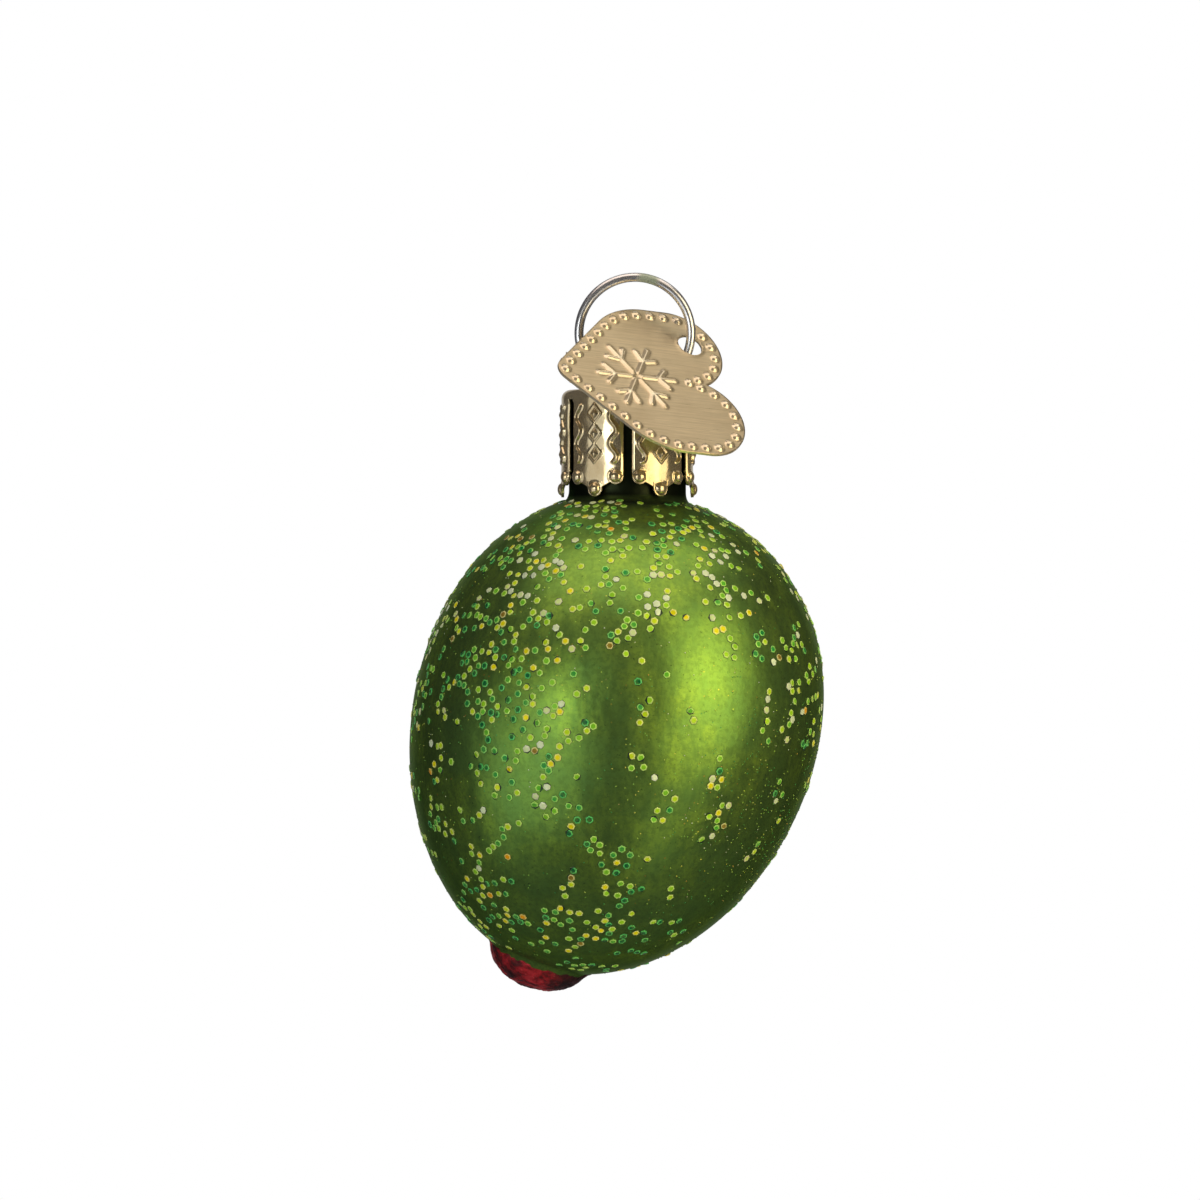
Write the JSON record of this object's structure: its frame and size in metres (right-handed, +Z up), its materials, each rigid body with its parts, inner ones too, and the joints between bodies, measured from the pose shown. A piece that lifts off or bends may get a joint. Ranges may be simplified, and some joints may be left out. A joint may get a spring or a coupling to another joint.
{
  "type": "hanging ornament",
  "caption": "Blown-glass olive ornament with a pimiento end, a folded gold cap with embossed straps, a sprung wire hanging loop and a loose beaded heart tag.",
  "frame": {"origin": "the point under the top of the hanger's ring, on the wire's centreline height less its radius, where a hook bears and holds the ornament up", "axes": "+Z up, along the neck and cap; the ring lies in the XZ plane; the front, towards which the tag leans, faces -Y"},
  "size_m": [0.038, 0.0373, 0.0658],
  "materials": {
    "green_lacquered_glass": "satin metallic green lacquer over silvered glass, with glitter, and a gritty red end",
    "gold_cap_metal": "polished pale gold, embossed",
    "spring_wire": "bright drawn steel wire",
    "gold_tag_metal": "brushed pale gold, with a beaded rim"
  },
  "bodies": {
    "hanger": {"wire_hanger": "spring_wire"},
    "cap": {"cap": "gold_cap_metal"},
    "glass": {"glass_olive": "green_lacquered_glass"},
    "tag": {"heart_tag": "gold_tag_metal"}
  },
  "joints": [
    {"name": "tag_swing", "type": "hinge", "parent": "hanger", "child": "tag", "pos_m": [0.00498, 0, -0.00589], "axis": [-0.8526, -0.5225, 0], "range_deg": [0, 100]},
    {"name": "hanger_draw", "type": "slide", "parent": "hanger", "child": "cap", "axis": [0, 0, -1], "range_m": [0, 0.002]},
    {"name": "neck_pull", "type": "slide", "parent": "cap", "child": "glass", "axis": [0, 0, -1], "range_m": [0, 0.014]}
  ]
}
